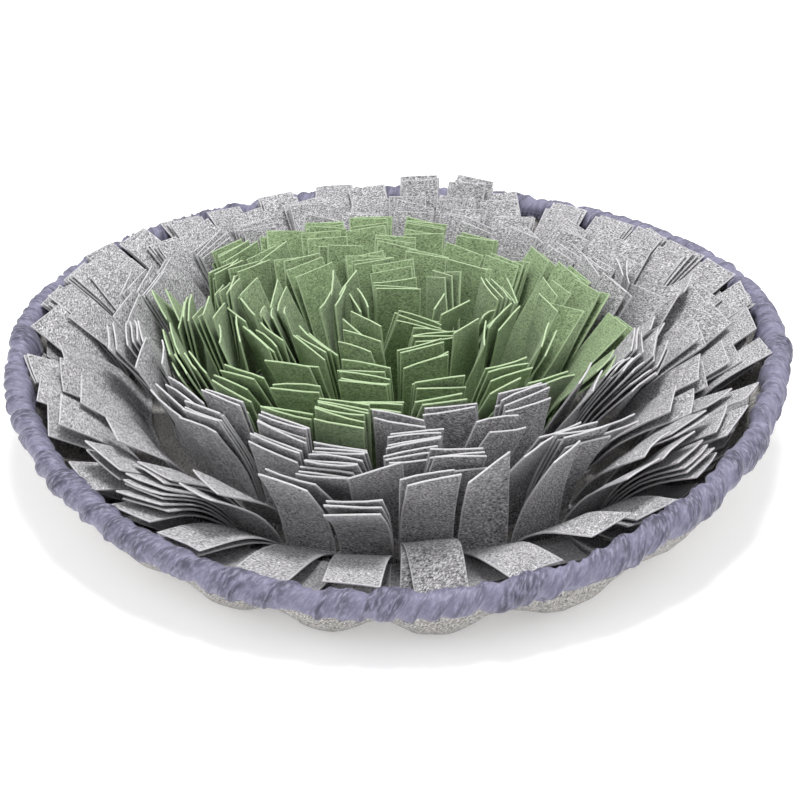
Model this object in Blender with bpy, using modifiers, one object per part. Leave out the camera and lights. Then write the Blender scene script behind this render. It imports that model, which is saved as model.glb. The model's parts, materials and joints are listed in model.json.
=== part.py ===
"""Felt snuffle mat, drawn up into a shallow bowl.

A round felt base is flat in the middle and raised round its edge, where a gathered casing strip is sewn
over it. Rings of felt strips, folded and sewn down along the fold, stand on it as pairs of flaps.
Metres, +Z up. The felt's own centre is the parent empty, the world origin is the middle of the footprint.
"""
import math
import random
from collections import namedtuple

import bmesh
import bpy
from mathutils import Matrix, Vector
from mathutils.bvhtree import BVHTree

MM = 0.001

# Felt base
FELT_CENTRE = (3.05 * MM, 7.68 * MM)
FLAT_RADIUS = 150 * MM
WALL_LENGTH = 121.5 * MM
WALL_BOW = 1.15
BASE_THICKNESS = 3 * MM
AROUND = 104
WALL_ROWS = (0.22, 0.42, 0.60, 0.75, 0.86, 0.92, 1.0)
FRONT_ANGLE = math.radians(-90)
FRONT_SPREAD = 1.5

# How the wall climbs at the sides and the front: a slow rise, and a late curl up at the rim
SIDE_POWER = 1.7
FRONT_POWER = 3.2
CURL_POWER = 12
SIDE_CURL = 0.08
FRONT_CURL = 0.80

RimWave = namedtuple("RimWave", "turns cosine sine")
RIM_WAVES = (
    RimWave(0, 54.2 * MM, 0),
    RimWave(1, 3.4 * MM, 10.3 * MM),
    RimWave(2, 9.1 * MM, -1.3 * MM),
    RimWave(3, 0, -4.1 * MM),
)

# Ruffles that the gathering leaves in the felt under the rim band, uneven in spacing and in depth
Wave = namedtuple("Wave", "turns size phase")
RUFFLES = 25
RUFFLE_DRIFTS = (Wave(3, 1.1, 0.7), Wave(5, 0.8, 2.1))
RUFFLE_SWELL = Wave(4, 0.25, 1.3)
RUFFLE_DEPTH = 7.5 * MM
RUFFLE_DIP = 0.45
RUFFLE_BREADTH = 1.5
RUFFLE_START = 0.35
RUFFLE_PEAK = 0.86
RUFFLE_AT_EDGE = 0.14
RUFFLE_WAY = Vector((0.94, -0.34))
RUFFLE_LOWEST = 0.2

# Rim band: an inverted U over the felt's edge, its section from the slot's closed end round to the crown
BandPoint = namedtuple("BandPoint", "along half_width")
BAND_SECTION = (
    BandPoint(0.6 * MM, 2.4 * MM),
    BandPoint(-9.0 * MM, 4.6 * MM),
    BandPoint(-9.0 * MM, 5.4 * MM),
    BandPoint(-2.7 * MM, 6.8 * MM),
    BandPoint(5.2 * MM, 4.9 * MM),
    BandPoint(8.0 * MM, 0),
)

# Strips folded in half and sewn along the fold
FLAP_WIDTH = 30 * MM
FLAP_THICKNESS = 1.5 * MM
FLAP_LENGTH = 75 * MM
STRIP_HALF = 3.5 * MM
STRIP_HEIGHT = 2.0 * MM
STRIP_LIFT = 0.5 * MM
STRIP_CHECKS = (0, 0.25, 0.5, 0.75, 1)
PLY_OFFSET = 1.65 * MM
RING_CENTRE = Vector((-3 * MM, 4 * MM, 0))

# How a strip's lie varies, and how little its two flaps differ, in degrees; and how they give way to neighbours
LEAN_JITTER = 7.5
YAW_JITTER = 16
TILT_JITTER = 8
PLY_SPREAD = 1.6
PLY_JITTER = 2
YAW_DRIFT = 12
YAW_DRIFTS = ((5, 1.0), (11, 0.6))
LENGTH_RANGE = (0.95, 1.04)
ROOT_LEAN = (0.4, 0.75)
ROOT_LEAN_RANGE = (50, 95)
TIP_LEAN = 1.08
BEND_POWER = 0.8
GIVE_WAY = 0.7
FALL_POWER = 6
PATH_STEPS = 6
CLEARANCE = 0.7 * MM
MOST_TRIES = 24

# Radii in mm, turns in degrees. Flaps lean out from upright, in degrees, by a ring's four sides; outer ones fall more
Ring = namedtuple("Ring", "name felt radius units turn first last plies bends right back left front fall")
RINGS = (
    Ring("grey_3", "grey", 190, 36, 0, 33, 57, 1, 3, 76, 66, 78, 60, 0),
    Ring("grey_front", "grey", 190, 36, 0, 21, 33, 2, 3, 60, 60, 58, 40, 68),
    Ring("grey_2", "grey", 172, 32, 3, 0, 32, 1, 2, 60, 52, 60, 36, 0),
    Ring("grey_1", "grey", 152, 27, 0, 0, 27, 2, 2, 48, 34, 26, 28, 0),
    Ring("grey_inner", "grey", 131, 25, 5, 18, 30, 2, 2, 42, 30, 16, 21, 0),
    Ring("green_6", "green", 131, 25, 5, 5, 18, 2, 2, 42, 30, 16, 26, 0),
    Ring("green_5", "green", 108, 20, 0, 0, 20, 2, 2, 44, 24, 14, 24, 0),
    Ring("green_4", "green", 85, 15, 8, 0, 15, 2, 2, 35, 18, 16, 20, 0),
    Ring("green_3", "green", 62, 12, 0, 0, 12, 2, 2, 24, 14, 18, 16, 0),
    Ring("green_2", "green", 39, 7, 10, 0, 7, 2, 2, 16, 10, 14, 14, 0),
    Ring("green_1", "green", 18, 4, 45, 0, 4, 2, 2, 12, 8, 14, 10, 0),
)

# Flaps that stand out from their ring, in degrees: lean at the root and the tip, turn, and tilt along the ring
Special = namedtuple("Special", "ring unit ply start lean yaw tilt")
SPECIALS = (
    Special("grey_front", 6, 1, -8, 158, 16, -6),
    Special("grey_3", 10, 0, 12, 26, -5, 0),
    Special("grey_3", 11, 0, 12, 28, 4, 0),
    Special("green_1", 2, 0, 4, 8, 0, 24),
    Special("green_1", 2, 1, 6, 14, 3, 22),
    Special("green_1", 1, 0, 6, 12, 30, 0),
    Special("green_1", 1, 1, 6, 20, 34, 4),
)
BENDS = {2: (0.42, 1.0), 3: (0.2, 0.55, 1.0)}

# Stretches of a ring, in degrees round it, where the flaps have sunk outwards, turned and tilted along the ring
Sag = namedtuple("Sag", "ring angle spread lean yaw tilt")
SAGS = (
    Sag("grey_front", -121, 15, 28, 0, 0),
    Sag("grey_front", -72, 13, -14, 8, 0),
    Sag("grey_2", -119, 14, 26, 0, 0),
    Sag("grey_1", -112, 14, 10, 0, 0),
    Sag("grey_3", -160, 20, -18, -30, 16),
    Sag("grey_front", -150, 22, 0, -40, 20),
    Sag("grey_2", -152, 24, 8, -38, 18),
    Sag("grey_1", -154, 20, 4, -22, 8),
    Sag("grey_front", -36, 22, 8, 34, -18),
    Sag("grey_2", -38, 20, 14, 26, -12),
    Sag("grey_1", -36, 20, 14, 16, -6),
    Sag("grey_inner", -48, 18, 8, 0, 0),
    Sag("green_6", -128, 16, 18, 0, 0),
)

Finish = namedtuple("Finish", "colour roughness")
FINISHES = {
    "base": Finish((0.55, 0.52, 0.49), 0.95),
    "band": Finish((0.24, 0.23, 0.33), 0.55),
    "grey": Finish((0.42, 0.42, 0.44), 0.95),
    "green": Finish((0.22, 0.33, 0.16), 0.95),
}


def clear_scene():
    for thing in list(bpy.data.objects):
        bpy.data.objects.remove(thing, do_unlink=True)


def mix(a, b, share):
    return a + (b - a) * share


def smooth(low, high, value):
    """0 below low, 1 above high, with soft ends."""
    share = min(max((value - low) / (high - low), 0), 1)
    return share * share * (3 - 2 * share)


def material(name, finish):
    made = bpy.data.materials.new(name)
    made.use_nodes = True
    shader = made.node_tree.nodes["Principled BSDF"]
    shader.inputs["Base Color"].default_value = (*finish.colour, 1)
    shader.inputs["Roughness"].default_value = finish.roughness
    shader.inputs["Metallic"].default_value = 0
    made.diffuse_color = (*finish.colour, 1)
    return made


# ---------------------------------------------------------------- felt base

def rim_height(angle):
    return sum(wave.cosine * math.cos(wave.turns * angle) + wave.sine * math.sin(wave.turns * angle)
               for wave in RIM_WAVES)


def rim_reach(angle):
    return FLAT_RADIUS + math.sqrt(WALL_LENGTH ** 2 - (WALL_BOW * rim_height(angle)) ** 2)


def wave_at(wave, angle):
    return wave.size * math.sin(wave.turns * angle + wave.phase)


def ruffle_wave(angle):
    """Uneven ruffles, broad where they bulge outwards to 1 and narrow where they dip inwards."""
    phase = RUFFLES * angle + sum(wave_at(drift, angle) for drift in RUFFLE_DRIFTS)
    dip = ((1 - math.sin(phase)) / 2) ** RUFFLE_BREADTH
    return (1 - (1 + RUFFLE_DIP) * dip) * (1 - RUFFLE_SWELL.size + wave_at(RUFFLE_SWELL, angle))


def ruffle_depth(share):
    if share > RUFFLE_PEAK:
        fall = (share - RUFFLE_PEAK) / (1 - RUFFLE_PEAK)
        return RUFFLE_DEPTH * mix(1, RUFFLE_AT_EDGE, fall)
    return RUFFLE_DEPTH * smooth(RUFFLE_START, RUFFLE_PEAK, share)


def smooth_wall(angle, share):
    """Radius and height of the wall's underside before it is ruffled, share 0 at the flat and 1 at the rim."""
    front = max(math.cos(angle - FRONT_ANGLE), 0) ** FRONT_SPREAD
    curl = mix(SIDE_CURL, FRONT_CURL, front)
    slow = share ** mix(SIDE_POWER, FRONT_POWER, front)
    radius = mix(FLAT_RADIUS, rim_reach(angle), share)
    return Vector((radius, rim_height(angle) * mix(slow, share ** CURL_POWER, curl)))


def ruffled_wall(angle, share):
    """Radius and height of the wall's underside, pushed in and out by the ruffles but never into the floor."""
    smooth_place = smooth_wall(angle, share)
    place = smooth_place + RUFFLE_WAY * ruffle_depth(share) * ruffle_wave(angle)
    place.y = max(place.y, RUFFLE_LOWEST * smooth_place.y)
    return place


def around(angle, point):
    """A radius and height turned to its place round the felt's centre."""
    return Vector((point.x * math.cos(angle), point.x * math.sin(angle), point.y))


def base_felt():
    """The underside as an open surface, grown outwards ring by ring, then made thick upwards."""
    bm = bmesh.new()
    bmesh.ops.create_circle(bm, cap_ends=True, segments=AROUND, radius=FLAT_RADIUS)
    for share in WALL_ROWS:
        boundary = [e for e in bm.edges if e.is_boundary]
        grown = bmesh.ops.extrude_edge_only(bm, edges=boundary)["geom"]
        for vert in [g for g in grown if isinstance(g, bmesh.types.BMVert)]:
            angle = math.atan2(vert.co.y, vert.co.x)
            vert.co = around(angle, ruffled_wall(angle, share))
    bmesh.ops.recalc_face_normals(bm, faces=bm.faces)
    if max(bm.faces, key=lambda f: f.calc_area()).normal.z < 0:
        bmesh.ops.reverse_faces(bm, faces=bm.faces)
    return bm


def thicken(thing, thickness):
    solid = thing.modifiers.new("Felt thickness", "SOLIDIFY")
    solid.thickness = thickness
    solid.offset = 1
    solid.use_even_offset = True


# ---------------------------------------------------------------- rim band

def rim_band():
    """The casing lofted round the rim; its section goes up one side of the felt and down the other."""
    outline = list(BAND_SECTION)
    outline += [BandPoint(point.along, -point.half_width) for point in reversed(BAND_SECTION[:-1])]
    bm = bmesh.new()
    rows = []
    for i in range(AROUND):
        angle = 2 * math.pi * i / AROUND
        edge = ruffled_wall(angle, 1)
        along = (edge - ruffled_wall(angle, WALL_ROWS[-2])).normalized()
        across = Vector((-along.y, along.x))
        middle = edge + across * BASE_THICKNESS / 2
        rows.append([bm.verts.new(around(angle, middle + along * a + across * b)) for a, b in outline])
    for row, after in zip(rows, rows[1:] + rows[:1]):
        for j, vert in enumerate(row):
            k = (j + 1) % len(row)
            bm.faces.new((vert, after[j], after[k], row[k]))
    bmesh.ops.recalc_face_normals(bm, faces=bm.faces)
    return bm


# ---------------------------------------------------------------- rings of flaps

Section = namedtuple("Section", "middle width through")


class Ground:
    """The felt base's upper face, read from its solid."""

    def __init__(self, thing):
        self.tree = BVHTree.FromObject(thing, bpy.context.evaluated_depsgraph_get())

    def point(self, place):
        return self.tree.ray_cast(Vector((place.x, place.y, 1)), Vector((0, 0, -1)))[0]

    def height(self, place):
        found = self.point(place)
        return found.z if found else 0


def ring_corner(ring, ground, corner):
    """Frame of a strip's corner: a point on the base, the way outwards and the way up."""
    angle = math.radians(ring.turn) + 2 * math.pi * corner / ring.units
    outwards = Vector((math.cos(angle), math.sin(angle), 0))
    middle = RING_CENTRE + outwards * ring.radius * MM / math.cos(math.pi / ring.units)
    low = ground.point(middle - outwards * STRIP_HALF)
    high = ground.point(middle + outwards * STRIP_HALF)
    slope = (high - low).normalized()
    along = Vector((-math.sin(angle), math.cos(angle), 0))
    up = slope.cross(along).normalized()
    return [(low + high) / 2 + up * STRIP_LIFT, slope / math.cos(math.pi / ring.units), up]


def strip_point(here, after, share, across, height):
    """A point of the strip between two corners."""
    start, end = (middle + outwards * across + up * height for middle, outwards, up in (here, after))
    return start.lerp(end, share)


def seat_strip(frames, ground):
    """Lifts the corners beside each place where the base would come through the strip."""
    lifts = [0] * len(frames)
    for i in range(len(frames) - 1):
        for share in STRIP_CHECKS:
            for across in (-STRIP_HALF, 0, STRIP_HALF):
                low = strip_point(frames[i], frames[i + 1], share, across, 0)
                short = STRIP_LIFT - (low.z - ground.height(low))
                lifts[i] = max(lifts[i], short)
                lifts[i + 1] = max(lifts[i + 1], short)
    if (frames[0][0] - frames[-1][0]).length < STRIP_LIFT:
        lifts[0] = lifts[-1] = max(lifts[0], lifts[-1])
    for frame, lift in zip(frames, lifts):
        frame[0] = frame[0] + Vector((0, 0, lift))


def ply_places(ring):
    return (0,) if ring.plies == 1 else (-PLY_OFFSET, PLY_OFFSET)


def strip_columns(ring):
    """Places across the strip: its two edges and both faces of each ply."""
    places = [-STRIP_HALF]
    for middle in ply_places(ring):
        places += [middle - FLAP_THICKNESS / 2, middle + FLAP_THICKNESS / 2]
    return places + [STRIP_HALF]


def strip_ring(ring, ground):
    """The backing strip, and the cells of its upper face that the flaps grow from."""
    bm = bmesh.new()
    columns = strip_columns(ring)
    length = 2 * ring.radius * MM * math.tan(math.pi / ring.units)
    margin = (1 - FLAP_WIDTH / length) / 2
    frames = [ring_corner(ring, ground, corner) for corner in range(ring.first, ring.last + 1)]
    seat_strip(frames, ground)
    rows = []
    for here, after in zip(frames, frames[1:]):
        rows += [strip_row(bm, here, after, margin, columns), strip_row(bm, here, after, 1 - margin, columns)]
    closed = ring.last - ring.first == ring.units
    if not closed:
        bm.faces.new(rows[0])
        bm.faces.new(rows[-1])
    cells = []
    for index, row in enumerate(rows if closed else rows[:-1]):
        after = rows[(index + 1) % len(rows)]
        for j, vert in enumerate(row):
            k = (j + 1) % len(row)
            face = bm.faces.new((vert, after[j], after[k], row[k]))
            if index % 2 == 0 and j % 2 == 1 and j < len(columns) - 1:
                cells.append((index // 2, j // 2, face))
    bmesh.ops.recalc_face_normals(bm, faces=bm.faces)
    return bm, cells


def strip_row(bm, here, after, share, columns):
    """One section of the strip: across its top, then back along its underside."""
    top = [strip_point(here, after, share, across, STRIP_HEIGHT) for across in columns]
    low = [strip_point(here, after, share, across, 0) for across in (columns[-1], columns[0])]
    return [bm.verts.new(place) for place in top + low]


def ring_lean(ring, angle):
    """Lean of a ring's flaps from upright, blended between its four sides."""
    east, north = math.cos(angle), math.sin(angle)
    side = ring.right if east > 0 else ring.left
    end = ring.back if north > 0 else ring.front
    return side * east * east + end * north * north


Sinking = namedtuple("Sinking", "lean yaw tilt")


def sinking(ring, angle):
    """How far a ring's flaps have sunk and turned at this angle, in degrees."""
    lean = yaw = tilt = 0
    for sag in SAGS:
        away = math.degrees(math.remainder(angle - math.radians(sag.angle), 2 * math.pi)) / sag.spread
        share = math.exp(-away * away) if sag.ring == ring.name else 0
        lean += sag.lean * share
        yaw += sag.yaw * share
        tilt += sag.tilt * share
    return Sinking(lean, yaw, tilt)


Pose = namedtuple("Pose", "start lean yaw tilt length")


def flap_pose(ring, unit, ply, angle, chance, ease):
    """A flap's leans, turn and tilt in degrees; ease goes from 0 to 1 as it gives way to its neighbours."""
    calm = 1 - ease
    length = FLAP_LENGTH * chance.uniform(*LENGTH_RANGE)
    for special in SPECIALS:
        if (special.ring, special.unit, special.ply) == (ring.name, unit, ply):
            return Pose(special.start * calm, special.lean * calm, special.yaw * calm, special.tilt * calm, length)
    drift = sum(size * math.sin(turns * angle + ring.radius) for turns, size in YAW_DRIFTS)
    spread = PLY_SPREAD if ply else -PLY_SPREAD
    strip = random.Random(f"{ring.name} {unit}")
    sunk = sinking(ring, angle)
    lean = ring_lean(ring, angle) + sunk.lean + strip.gauss(0, LEAN_JITTER)
    lean += ring.fall * ply * max(-math.sin(angle), 0) ** FALL_POWER + spread + chance.gauss(0, PLY_JITTER)
    lean *= 1 - GIVE_WAY * ease
    start = lean * mix(*ROOT_LEAN, smooth(*ROOT_LEAN_RANGE, lean))
    yaw = sunk.yaw + YAW_DRIFT * drift + strip.gauss(0, YAW_JITTER) + chance.gauss(0, PLY_JITTER)
    tilt = sunk.tilt + strip.gauss(0, TILT_JITTER) + chance.gauss(0, PLY_JITTER)
    return Pose(start, TIP_LEAN * lean, yaw * calm, tilt * calm, length)


def flap_path(root, pose, ground):
    """Sections up the flap, a share of its length each: middle, half its width and half its thickness."""
    path = [root]
    outwards, along = root.through.normalized(), root.width.normalized()
    middle = root.middle.copy()
    step = pose.length / PATH_STEPS
    need = FLAP_THICKNESS / 2 + CLEARANCE
    for i in range(1, PATH_STEPS + 1):
        share = (i - 0.5) / PATH_STEPS
        lean = math.radians(mix(pose.start, pose.lean, share ** BEND_POWER))
        tilt = math.radians(pose.tilt) * share
        turn = Matrix.Rotation(math.radians(pose.yaw) * share, 3, "Z")
        climb = turn @ outwards * math.sin(lean) + Vector((0, 0, math.cos(lean)))
        rise = climb * math.cos(tilt) + turn @ along * math.sin(tilt)
        width = turn @ along * math.cos(tilt) - climb * math.sin(tilt)
        middle = middle + rise * step
        for side in (-0.5, 0, 0.5):
            reach = width * side * FLAP_WIDTH
            middle.z = max(middle.z, ground.height(middle + reach) + need - reach.z)
        path.append(Section(middle.copy(), width * FLAP_WIDTH / 2, width.cross(rise) * FLAP_THICKNESS / 2))
    return path


def flap_section(path, share):
    """The flap's section at a share of its length."""
    place = share * PATH_STEPS
    low = min(int(place), PATH_STEPS - 1)
    before, after = path[low], path[low + 1]
    return Section(*(a.lerp(b, place - low) for a, b in zip(before, after)))


def corners(section, extra=0):
    width = section.width.normalized() * (section.width.length + extra)
    through = section.through.normalized() * (section.through.length + extra)
    return [section.middle + width * a + through * b for a, b in ((-1, -1), (1, -1), (1, 1), (-1, 1))]


def hull_of(sections, extra=0):
    """A tree of the flap's faces, to test against its neighbours; its sides are split along both diagonals."""
    points = [corner for section in sections for corner in corners(section, extra)]
    last = len(points) - 4
    faces = [(0, 1, 2), (0, 2, 3), (last, last + 1, last + 2), (last, last + 2, last + 3)]
    for start in range(0, last, 4):
        for j in range(4):
            k = (j + 1) % 4
            a, b, c, d = start + j, start + k, start + 4 + k, start + 4 + j
            faces += [(a, b, c), (a, c, d), (a, b, d), (b, c, d)]
    return BVHTree.FromPolygons(points, faces)


def cell_section(cell, angle):
    """The root's section, from the strip's cell."""
    outwards = Vector((math.cos(angle), math.sin(angle), 0))
    along = Vector((-math.sin(angle), math.cos(angle), 0))
    return Section(cell.calc_center_median(), along * FLAP_WIDTH / 2, outwards * FLAP_THICKNESS / 2)


def grow_flaps(ring, bm, cells, ground, strips, standing):
    """Extrudes each flap from its cell, bend by bend, clear of the other strips and of all that stands already."""
    for unit, ply, cell in sorted(cells, key=lambda c: (c[0], -c[1])):
        angle = math.radians(ring.turn) + 2 * math.pi * (ring.first + unit + 0.5) / ring.units
        root = cell_section(cell, angle)
        chance = random.Random(f"{ring.name} {unit} {ply}")
        for attempt in range(MOST_TRIES):
            pose = flap_pose(ring, unit, ply, angle, chance, attempt / MOST_TRIES)
            path = flap_path(root, pose, ground)
            bends = [flap_section(path, share) for share in BENDS[ring.bends]]
            tree = hull_of([root] + bends, CLEARANCE / 2)
            if not any(tree.overlap(other) for other in strips + standing):
                break
        else:
            continue
        before = root
        for section in bends:
            cell = extrude_to(bm, cell, before, section)
            before = section
        standing.append(hull_of([root] + bends))


def extrude_to(bm, face, before, after):
    """Pulls a section's face out to the next section, and splits opposite sides along the same diagonal."""
    grown = bmesh.ops.extrude_discrete_faces(bm, faces=[face])["faces"][0]
    middle = grown.calc_center_median()
    corner_of = {}
    for vert in grown.verts:
        offset = vert.co - middle
        across = math.copysign(1, offset.dot(before.width))
        through = math.copysign(1, offset.dot(before.through))
        corner_of[vert] = across + through
        vert.co = after.middle + after.width * across + after.through * through
    for edge in grown.edges:
        side = next(f for f in edge.link_faces if f is not grown)
        low, high = sorted(edge.verts, key=corner_of.get)
        feet = [e.other_vert(low) for e in low.link_edges if e in side.edges[:]]
        foot = next(vert for vert in feet if vert is not high)
        bmesh.utils.face_split(side, high, foot)
    return grown


# ---------------------------------------------------------------- the object

def add_object(name, bm, finish, collection, parent):
    mesh = bpy.data.meshes.new(name)
    bm.to_mesh(mesh)
    bm.free()
    thing = bpy.data.objects.new(name, mesh)
    mesh.materials.append(finish)
    collection.objects.link(thing)
    thing.parent = parent
    return thing


def build():
    clear_scene()
    collection = bpy.data.collections.new("snuffle_mat")
    bpy.context.scene.collection.children.link(collection)
    centre = bpy.data.objects.new("felt_centre", None)
    centre.location = (*FELT_CENTRE, 0)
    collection.objects.link(centre)
    finishes = {name: material(name, finish) for name, finish in FINISHES.items()}

    base = add_object("base", base_felt(), finishes["base"], collection, centre)
    thicken(base, BASE_THICKNESS)
    band = add_object("rim_band", rim_band(), finishes["band"], collection, centre)

    ground = Ground(base)
    strips = {ring.name: strip_ring(ring, ground) for ring in RINGS}
    trees = {name: BVHTree.FromBMesh(bm) for name, (bm, _) in strips.items()}
    standing = [ground.tree, BVHTree.FromObject(band, bpy.context.evaluated_depsgraph_get())]
    for ring in RINGS:
        bm, cells = strips[ring.name]
        others = [tree for name, tree in trees.items() if name != ring.name]
        grow_flaps(ring, bm, cells, ground, others, standing)
        add_object(ring.name, bm, finishes[ring.felt], collection, centre)


build()
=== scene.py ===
"""Looks of the felt snuffle mat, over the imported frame.

The first half repeats the part's sizes and the way its flaps are placed, so that each fine flap stands where
its solid does. The second half makes the fine pieces: the base felt, the gathered band and the flaps, with
further plies along them and flaps that have dropped flat. All lengths are in metres.
"""
import json
import math
import random
from collections import namedtuple

import bmesh
import bpy
from mathutils import Matrix, Vector, noise
from mathutils.bvhtree import BVHTree

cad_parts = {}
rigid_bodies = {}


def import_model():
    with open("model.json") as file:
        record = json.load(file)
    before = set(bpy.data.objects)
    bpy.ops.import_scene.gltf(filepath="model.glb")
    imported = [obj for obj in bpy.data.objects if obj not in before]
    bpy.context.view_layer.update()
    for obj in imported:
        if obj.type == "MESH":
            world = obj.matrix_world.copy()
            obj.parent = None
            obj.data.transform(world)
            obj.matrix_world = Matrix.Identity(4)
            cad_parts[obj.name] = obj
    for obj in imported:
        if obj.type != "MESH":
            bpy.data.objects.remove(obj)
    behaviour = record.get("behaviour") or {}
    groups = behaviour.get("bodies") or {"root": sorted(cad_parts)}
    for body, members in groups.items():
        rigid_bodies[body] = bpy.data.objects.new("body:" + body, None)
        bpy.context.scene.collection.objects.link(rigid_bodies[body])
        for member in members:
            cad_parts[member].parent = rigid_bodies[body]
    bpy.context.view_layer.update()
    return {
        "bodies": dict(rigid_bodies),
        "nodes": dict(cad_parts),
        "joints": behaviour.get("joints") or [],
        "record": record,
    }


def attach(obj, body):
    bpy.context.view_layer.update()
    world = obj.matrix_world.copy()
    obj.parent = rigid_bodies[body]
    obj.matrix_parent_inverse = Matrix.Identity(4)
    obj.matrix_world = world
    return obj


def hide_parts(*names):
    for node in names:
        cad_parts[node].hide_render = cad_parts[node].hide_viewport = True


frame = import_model()

MM = 0.001
SQUARE = ((-1, -1), (1, -1), (1, 1), (-1, 1))

# Felt base: a flat disc whose wall is drawn up round it; the wall's length runs along the cloth
FELT_CENTRE = (3.05 * MM, 7.68 * MM)
FLAT_RADIUS = 150 * MM
WALL_LENGTH = 121.5 * MM
WALL_BOW = 1.15
BASE_THICKNESS = 3 * MM
AROUND = 104
WALL_ROWS = (0.22, 0.42, 0.60, 0.75, 0.86, 0.92, 1.0)
FRONT_ANGLE = math.radians(-90)
FRONT_SPREAD = 1.5

# How the wall climbs at the sides and the front: a slow rise, and a late curl up at the rim
SIDE_POWER = 1.7
FRONT_POWER = 3.2
CURL_POWER = 12
SIDE_CURL = 0.08
FRONT_CURL = 0.80

RimWave = namedtuple("RimWave", "turns cosine sine")
RIM_WAVES = (
    RimWave(0, 54.2 * MM, 0),
    RimWave(1, 3.4 * MM, 10.3 * MM),
    RimWave(2, 9.1 * MM, -1.3 * MM),
    RimWave(3, 0, -4.1 * MM),
)

# Ruffles that the gathering leaves in the felt under the rim band, uneven in spacing and in depth
Wave = namedtuple("Wave", "turns size phase")
RUFFLES = 25
RUFFLE_DRIFTS = (Wave(3, 1.1, 0.7), Wave(5, 0.8, 2.1))
RUFFLE_SWELL = Wave(4, 0.25, 1.3)
RUFFLE_DEPTH = 7.5 * MM
RUFFLE_DIP = 0.45
RUFFLE_BREADTH = 1.5
RUFFLE_START = 0.35
RUFFLE_PEAK = 0.86
RUFFLE_AT_EDGE = 0.14
RUFFLE_WAY = Vector((0.94, -0.34))
RUFFLE_LOWEST = 0.2

# Rim band: an inverted U over the felt's edge, its section from the slot's closed end round to the crown
BandPoint = namedtuple("BandPoint", "along half_width")
BAND_SECTION = (
    BandPoint(0.6 * MM, 2.4 * MM),
    BandPoint(-9.0 * MM, 4.6 * MM),
    BandPoint(-9.0 * MM, 5.4 * MM),
    BandPoint(-2.7 * MM, 6.8 * MM),
    BandPoint(5.2 * MM, 4.9 * MM),
    BandPoint(8.0 * MM, 0),
)

# Strips folded in half and sewn along the fold
FLAP_WIDTH = 30 * MM
FLAP_THICKNESS = 1.5 * MM
FLAP_LENGTH = 75 * MM
STRIP_HALF = 3.5 * MM
STRIP_HEIGHT = 2.0 * MM
STRIP_LIFT = 0.5 * MM
STRIP_CHECKS = (0, 0.25, 0.5, 0.75, 1)
PLY_OFFSET = 1.65 * MM
RING_CENTRE = Vector((-3 * MM, 4 * MM, 0))

# How a strip's lie varies and how little its two flaps differ, in degrees, and how they give way to others
LEAN_JITTER = 7.5
YAW_JITTER = 16
TILT_JITTER = 8
PLY_SPREAD = 1.6
PLY_JITTER = 2
YAW_DRIFT = 12
YAW_DRIFTS = ((5, 1.0), (11, 0.6))
LENGTH_RANGE = (0.95, 1.04)
ROOT_LEAN = (0.4, 0.75)
ROOT_LEAN_RANGE = (50, 95)
TIP_LEAN = 1.08
BEND_POWER = 0.8
GIVE_WAY = 0.7
FALL_POWER = 6
PATH_STEPS = 6
CLEARANCE = 0.7 * MM
OVERHEAD = 1
MOST_TRIES = 24

# Radii in mm, turns in degrees. Flaps lean out from upright, in degrees, by a ring's four sides; in front the
# outer ply of a strip falls further. A ring of so many units uses those from first to last.
Ring = namedtuple("Ring", "name felt radius units turn first last plies bends right back left front fall")
RINGS = (
    Ring("grey_3", "grey", 190, 36, 0, 33, 57, 1, 3, 76, 66, 78, 60, 0),
    Ring("grey_front", "grey", 190, 36, 0, 21, 33, 2, 3, 60, 60, 58, 40, 68),
    Ring("grey_2", "grey", 172, 32, 3, 0, 32, 1, 2, 60, 52, 60, 36, 0),
    Ring("grey_1", "grey", 152, 27, 0, 0, 27, 2, 2, 48, 34, 26, 28, 0),
    Ring("grey_inner", "grey", 131, 25, 5, 18, 30, 2, 2, 42, 30, 16, 21, 0),
    Ring("green_6", "green", 131, 25, 5, 5, 18, 2, 2, 42, 30, 16, 26, 0),
    Ring("green_5", "green", 108, 20, 0, 0, 20, 2, 2, 44, 24, 14, 24, 0),
    Ring("green_4", "green", 85, 15, 8, 0, 15, 2, 2, 35, 18, 16, 20, 0),
    Ring("green_3", "green", 62, 12, 0, 0, 12, 2, 2, 24, 14, 18, 16, 0),
    Ring("green_2", "green", 39, 7, 10, 0, 7, 2, 2, 16, 10, 14, 14, 0),
    Ring("green_1", "green", 18, 4, 45, 0, 4, 2, 2, 12, 8, 14, 10, 0),
)

# Flaps that stand out from their ring, in degrees: lean at root and tip, turn, and tilt along the ring
Special = namedtuple("Special", "ring unit ply start lean yaw tilt")
SPECIALS = (
    Special("grey_front", 6, 1, -8, 158, 16, -6),
    Special("grey_3", 10, 0, 12, 26, -5, 0),
    Special("grey_3", 11, 0, 12, 28, 4, 0),
    Special("green_1", 2, 0, 4, 8, 0, 24),
    Special("green_1", 2, 1, 6, 14, 3, 22),
    Special("green_1", 1, 0, 6, 12, 30, 0),
    Special("green_1", 1, 1, 6, 20, 34, 4),
)

# Where a flap's bends are, in shares of its length, by their number
BENDS = {2: (0.42, 1.0), 3: (0.2, 0.55, 1.0)}

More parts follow.
